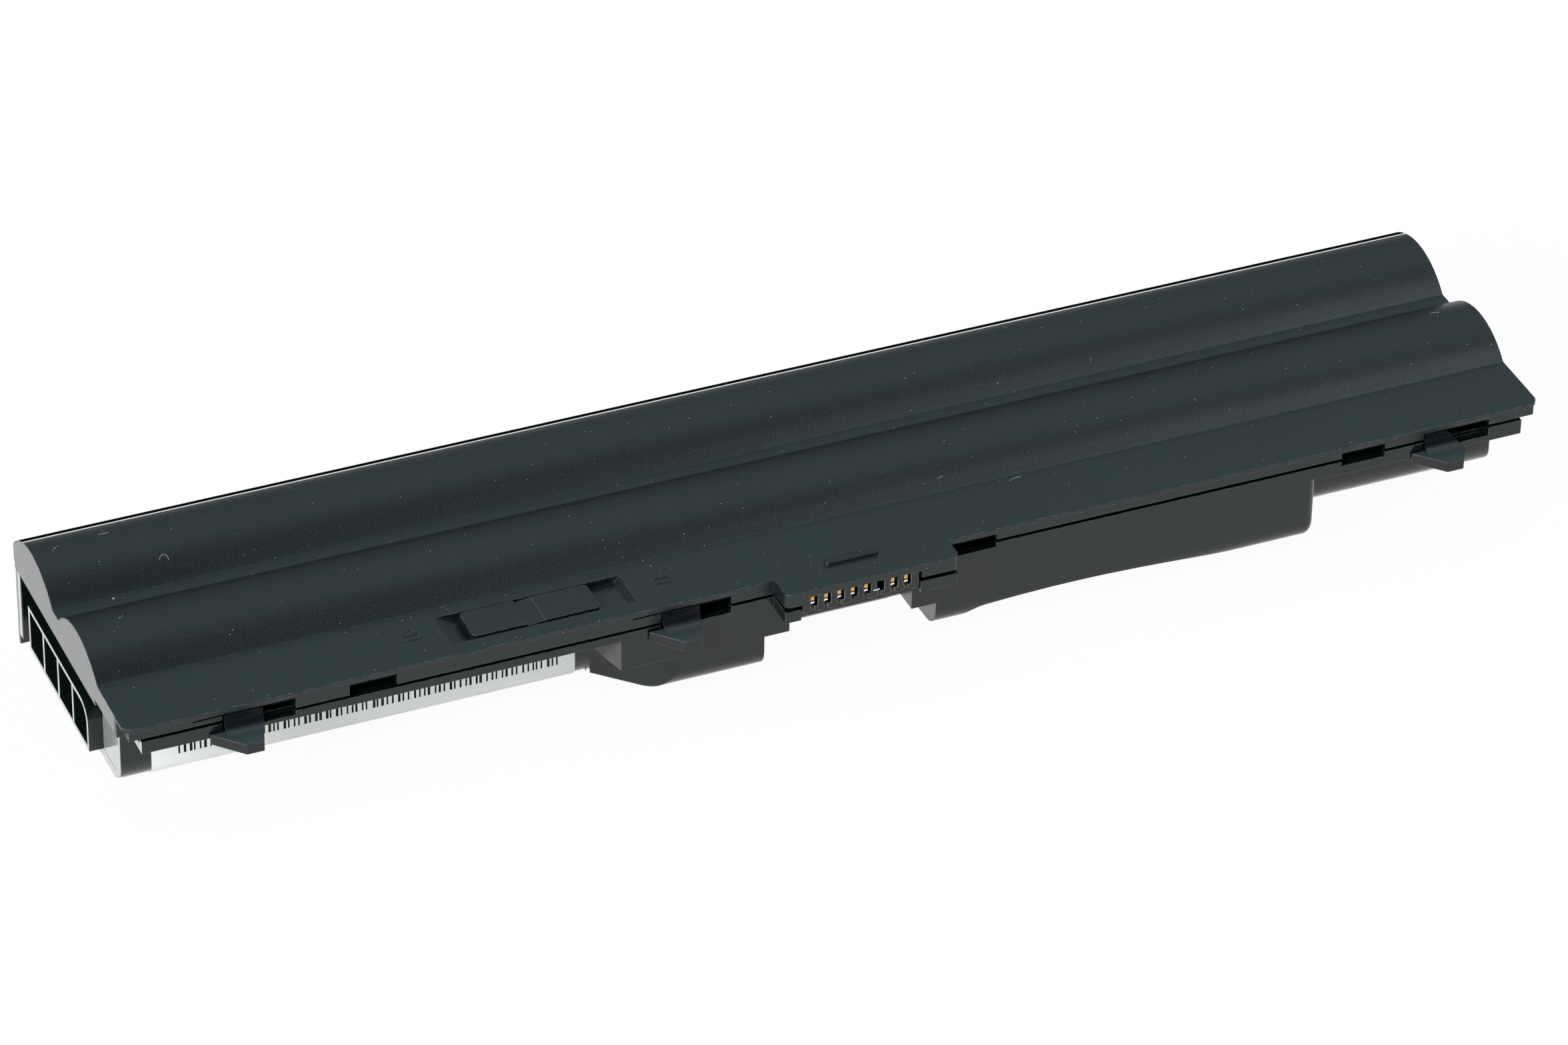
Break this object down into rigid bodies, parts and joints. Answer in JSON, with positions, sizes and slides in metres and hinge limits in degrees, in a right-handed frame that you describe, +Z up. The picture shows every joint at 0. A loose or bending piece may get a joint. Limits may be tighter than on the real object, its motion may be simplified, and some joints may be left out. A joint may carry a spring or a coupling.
{
  "type": "laptop battery",
  "caption": "Slim laptop battery pack: moulded case with two long humps over rows of round cells, a slide latch with hooks and a comb connector in the front edge.",
  "frame": {"origin": "under the middle of the pack: the centre of the bounding box's bottom face", "axes": "+X along the pack, +Y from the connector's edge to the rear rim, +Z up through the humps"},
  "size_m": [0.205, 0.052, 0.0203],
  "materials": {
    "upper_plastic": "fine-grained matt moulding",
    "lower_plastic": "smooth satin moulding",
    "latch_plastic": "smooth satin moulding",
    "connector_plastic": "smooth satin moulding",
    "contact_gold": "gold plated",
    "label_sheet": "white film",
    "cell_can": "shrink sleeve over a steel can",
    "nickel": "rolled strip",
    "fibre_card": "pressed fibre",
    "foam": "closed-cell foam",
    "board": "solder mask",
    "chip_body": "moulded package"
  },
  "bodies": {
    "case": {"capacitors": "chip_body", "cell_front_1": "cell_can", "cell_front_2": "cell_can", "cell_front_3": "cell_can", "cell_rear_1": "cell_can", "cell_rear_2": "cell_can", "cell_rear_3": "cell_can", "circuit_board": "board", "connector_housing": "connector_plastic", "contact_1": "contact_gold", "contact_2": "contact_gold", "contact_3": "contact_gold", "contact_4": "contact_gold", "contact_5": "contact_gold", "contact_6": "contact_gold", "contact_7": "contact_gold", "end_card_left": "fibre_card", "end_card_right": "fibre_card", "end_strip_left": "nickel", "end_strip_right": "nickel", "foam_strip": "foam", "gauge_chip": "chip_body", "joiner_strip_1": "nickel", "joiner_strip_2": "nickel", "label": "label_sheet", "lower_shell": "lower_plastic", "power_switches": "chip_body", "sense_resistor": "chip_body", "thermal_fuse": "chip_body", "upper_shell": "upper_plastic"},
    "latch": {"latch_bar": "latch_plastic", "latch_knob": "latch_plastic"}
  },
  "joints": [
    {"name": "latch_slide", "type": "slide", "parent": "case", "child": "latch", "axis": [1, 0, 0], "range_m": [0, 0.0042]}
  ]
}
